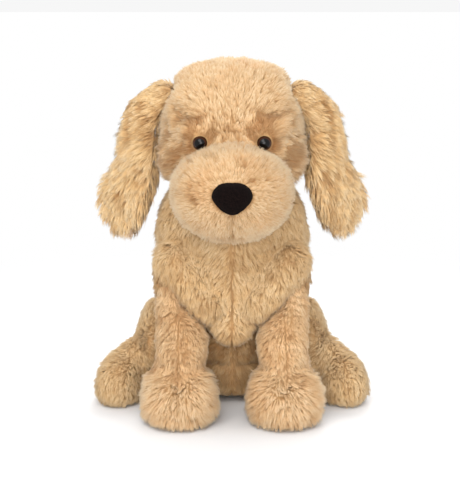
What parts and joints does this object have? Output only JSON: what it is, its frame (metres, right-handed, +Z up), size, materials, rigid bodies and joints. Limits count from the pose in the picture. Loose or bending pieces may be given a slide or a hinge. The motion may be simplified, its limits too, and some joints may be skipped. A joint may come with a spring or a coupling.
{
  "type": "plush dog",
  "caption": "Sitting plush dog with floppy ears, sewn pile-fabric panels over soft stuffing, and limbs, ears, head and tail that bend at their seams.",
  "frame": {"origin": "on the resting plane, on the plane of symmetry, under the chest", "axes": "+Z up, the dog faces -Y, +X is the dog's own left"},
  "size_m": [0.2416, 0.242, 0.294],
  "materials": {
    "body_plush": "dense short pile, brushed downward, toffee beige",
    "face_plush": "dense short pile, warm toffee beige with paler tips",
    "ear_plush": "long silky pile in clumps, golden beige",
    "paw_plush": "longer tousled pile, warm beige",
    "nose_felt": "very dark brown matte felt",
    "eye_lens": "clear polished plastic dome",
    "eye_pupil": "black gloss",
    "eye_iris": "dark brown gloss",
    "eye_fitting": "natural nylon, as moulded",
    "fibre_filling": "loose white polyester fibre",
    "pouch_cloth": "plain woven cotton",
    "pellets": "small smooth granules",
    "label_satin": "blank white satin ribbon"
  },
  "bodies": {
    "torso": {"back_panel_left": "body_plush", "back_panel_right": "body_plush", "base_panel": "body_plush", "belly_panel_left": "body_plush", "belly_panel_right": "body_plush", "blank_label": "label_satin", "chest_panel_left": "body_plush", "chest_panel_right": "body_plush", "seat_weight_pellets": "pellets", "seat_weight_pouch": "pouch_cloth", "torso_stuffing": "fibre_filling"},
    "ear_left": {"ear_left_lining": "ear_plush", "ear_left_outer": "ear_plush"},
    "ear_right": {"ear_right_lining": "ear_plush", "ear_right_outer": "ear_plush"},
    "head": {"eye_left_iris": "eye_iris", "eye_left_lens": "eye_lens", "eye_left_pupil": "eye_pupil", "eye_left_stem": "eye_fitting", "eye_left_washer": "eye_fitting", "eye_right_iris": "eye_iris", "eye_right_lens": "eye_lens", "eye_right_pupil": "eye_pupil", "eye_right_stem": "eye_fitting", "eye_right_washer": "eye_fitting", "face_side_left": "face_plush", "face_side_right": "face_plush", "head_back_left": "body_plush", "head_back_right": "body_plush", "head_gusset": "face_plush", "head_stuffing": "fibre_filling", "muzzle_lower_left": "face_plush", "muzzle_lower_right": "face_plush", "muzzle_top": "face_plush", "nose_cover": "nose_felt", "nose_padding": "fibre_filling"},
    "front_leg_left": {"front_leg_left_inner": "body_plush", "front_leg_left_outer": "body_plush", "front_leg_left_sole": "paw_plush", "front_leg_left_stuffing": "fibre_filling"},
    "front_leg_right": {"front_leg_right_inner": "body_plush", "front_leg_right_outer": "body_plush", "front_leg_right_sole": "paw_plush", "front_leg_right_stuffing": "fibre_filling"},
    "hind_leg_left": {"hind_leg_left_foot_top": "paw_plush", "hind_leg_left_sole": "paw_plush", "hind_leg_left_stuffing": "fibre_filling", "hind_leg_left_thigh_inner": "body_plush", "hind_leg_left_thigh_outer": "body_plush"},
    "hind_leg_right": {"hind_leg_right_foot_top": "paw_plush", "hind_leg_right_sole": "paw_plush", "hind_leg_right_stuffing": "fibre_filling", "hind_leg_right_thigh_inner": "body_plush", "hind_leg_right_thigh_outer": "body_plush"},
    "neck": {"neck_stuffing": "fibre_filling"},
    "tail": {"tail_lower": "body_plush", "tail_stuffing": "fibre_filling", "tail_upper": "body_plush"}
  },
  "joints": [
    {"name": "head_turn", "type": "hinge", "parent": "torso", "child": "neck", "pos_m": [0, 0.004, 0.15], "axis": [0, 0, 1], "range_deg": [-20, 20], "stiffness_Nm_per_rad": 0.6},
    {"name": "head_nod", "type": "hinge", "parent": "neck", "child": "head", "pos_m": [0, 0.004, 0.15], "axis": [1, 0, 0], "range_deg": [-8, 8], "stiffness_Nm_per_rad": 3},
    {"name": "ear_left_lift", "type": "hinge", "parent": "head", "child": "ear_left", "pos_m": [0.056, 0.004, 0.266], "axis": [0, -1, 0], "range_deg": [0, 60]},
    {"name": "ear_right_lift", "type": "hinge", "parent": "head", "child": "ear_right", "pos_m": [-0.056, 0.004, 0.266], "axis": [0, 1, 0], "range_deg": [0, 60]},
    {"name": "front_leg_left_swing", "type": "hinge", "parent": "torso", "child": "front_leg_left", "pos_m": [0.045, -0.029, 0.106], "axis": [-1, 0, 0], "range_deg": [0, 25]},
    {"name": "front_leg_right_swing", "type": "hinge", "parent": "torso", "child": "front_leg_right", "pos_m": [-0.045, -0.029, 0.106], "axis": [-1, 0, 0], "range_deg": [0, 25]},
    {"name": "hind_leg_left_swing", "type": "hinge", "parent": "torso", "child": "hind_leg_left", "pos_m": [0.066, 0.022, 0.046], "axis": [-1, 0, 0], "range_deg": [0, 25]},
    {"name": "hind_leg_right_swing", "type": "hinge", "parent": "torso", "child": "hind_leg_right", "pos_m": [-0.066, 0.022, 0.046], "axis": [-1, 0, 0], "range_deg": [0, 25]},
    {"name": "tail_wag", "type": "hinge", "parent": "torso", "child": "tail", "pos_m": [0, 0.08, 0.022], "axis": [0, 0, 1], "range_deg": [-30, 30]}
  ]
}
